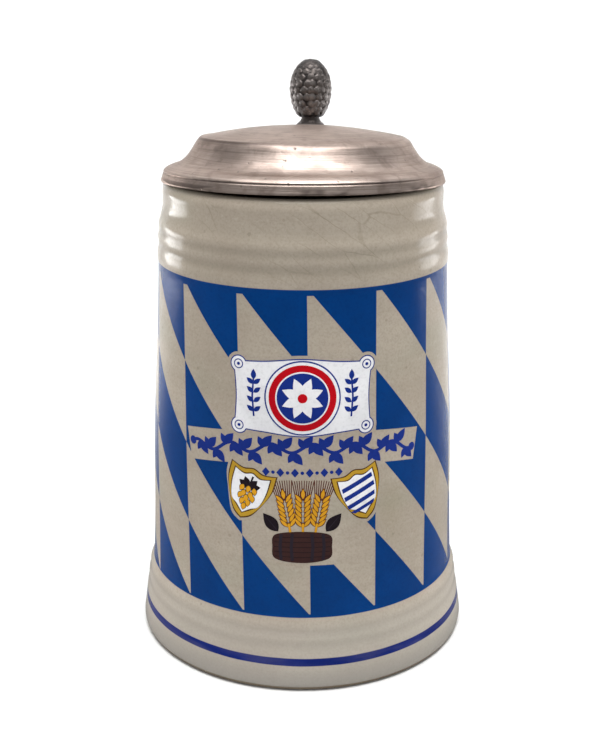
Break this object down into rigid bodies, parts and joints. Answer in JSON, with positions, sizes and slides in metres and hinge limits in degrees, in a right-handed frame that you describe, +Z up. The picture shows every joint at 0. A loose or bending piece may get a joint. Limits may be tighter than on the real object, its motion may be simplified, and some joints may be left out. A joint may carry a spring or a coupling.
{
  "type": "beer stein",
  "caption": "Stoneware beer stein with an ear handle and a pewter lid that hinges up on a strap, opened by a cone-shaped thumblift.",
  "frame": {"origin": "centre of the foot ring, on the surface the stein stands on", "axes": "+Z up along the vessel's axis, +Y towards the handle and the lid's hinge, -Y towards the decorated front"},
  "size_m": [0.1004, 0.1335, 0.1682],
  "materials": {
    "stoneware_glaze": "salt-coloured clear glaze with printed blue decoration, glossy",
    "pewter": "cast and turned pewter, satin, lightly scratched",
    "dark_pewter": "blackened pewter with rubbed high points",
    "steel": "plain drawn rod"
  },
  "bodies": {
    "mug": {"vessel": "stoneware_glaze", "handle": "stoneware_glaze", "handle_strap": "pewter", "hinge_bracket": "pewter", "hinge_pin": "steel", "pin_cap_left": "pewter", "pin_cap_right": "pewter"},
    "lid": {"lid_shell": "pewter", "lid_rim": "pewter", "lid_tang": "pewter", "thumblift_post": "dark_pewter", "thumblift_cone": "dark_pewter"}
  },
  "joints": [
    {"name": "lid_hinge", "type": "hinge", "parent": "mug", "child": "lid", "pos_m": [0, 0.051, 0.1375], "axis": [-1, 0, 0], "range_deg": [0, 100]}
  ]
}
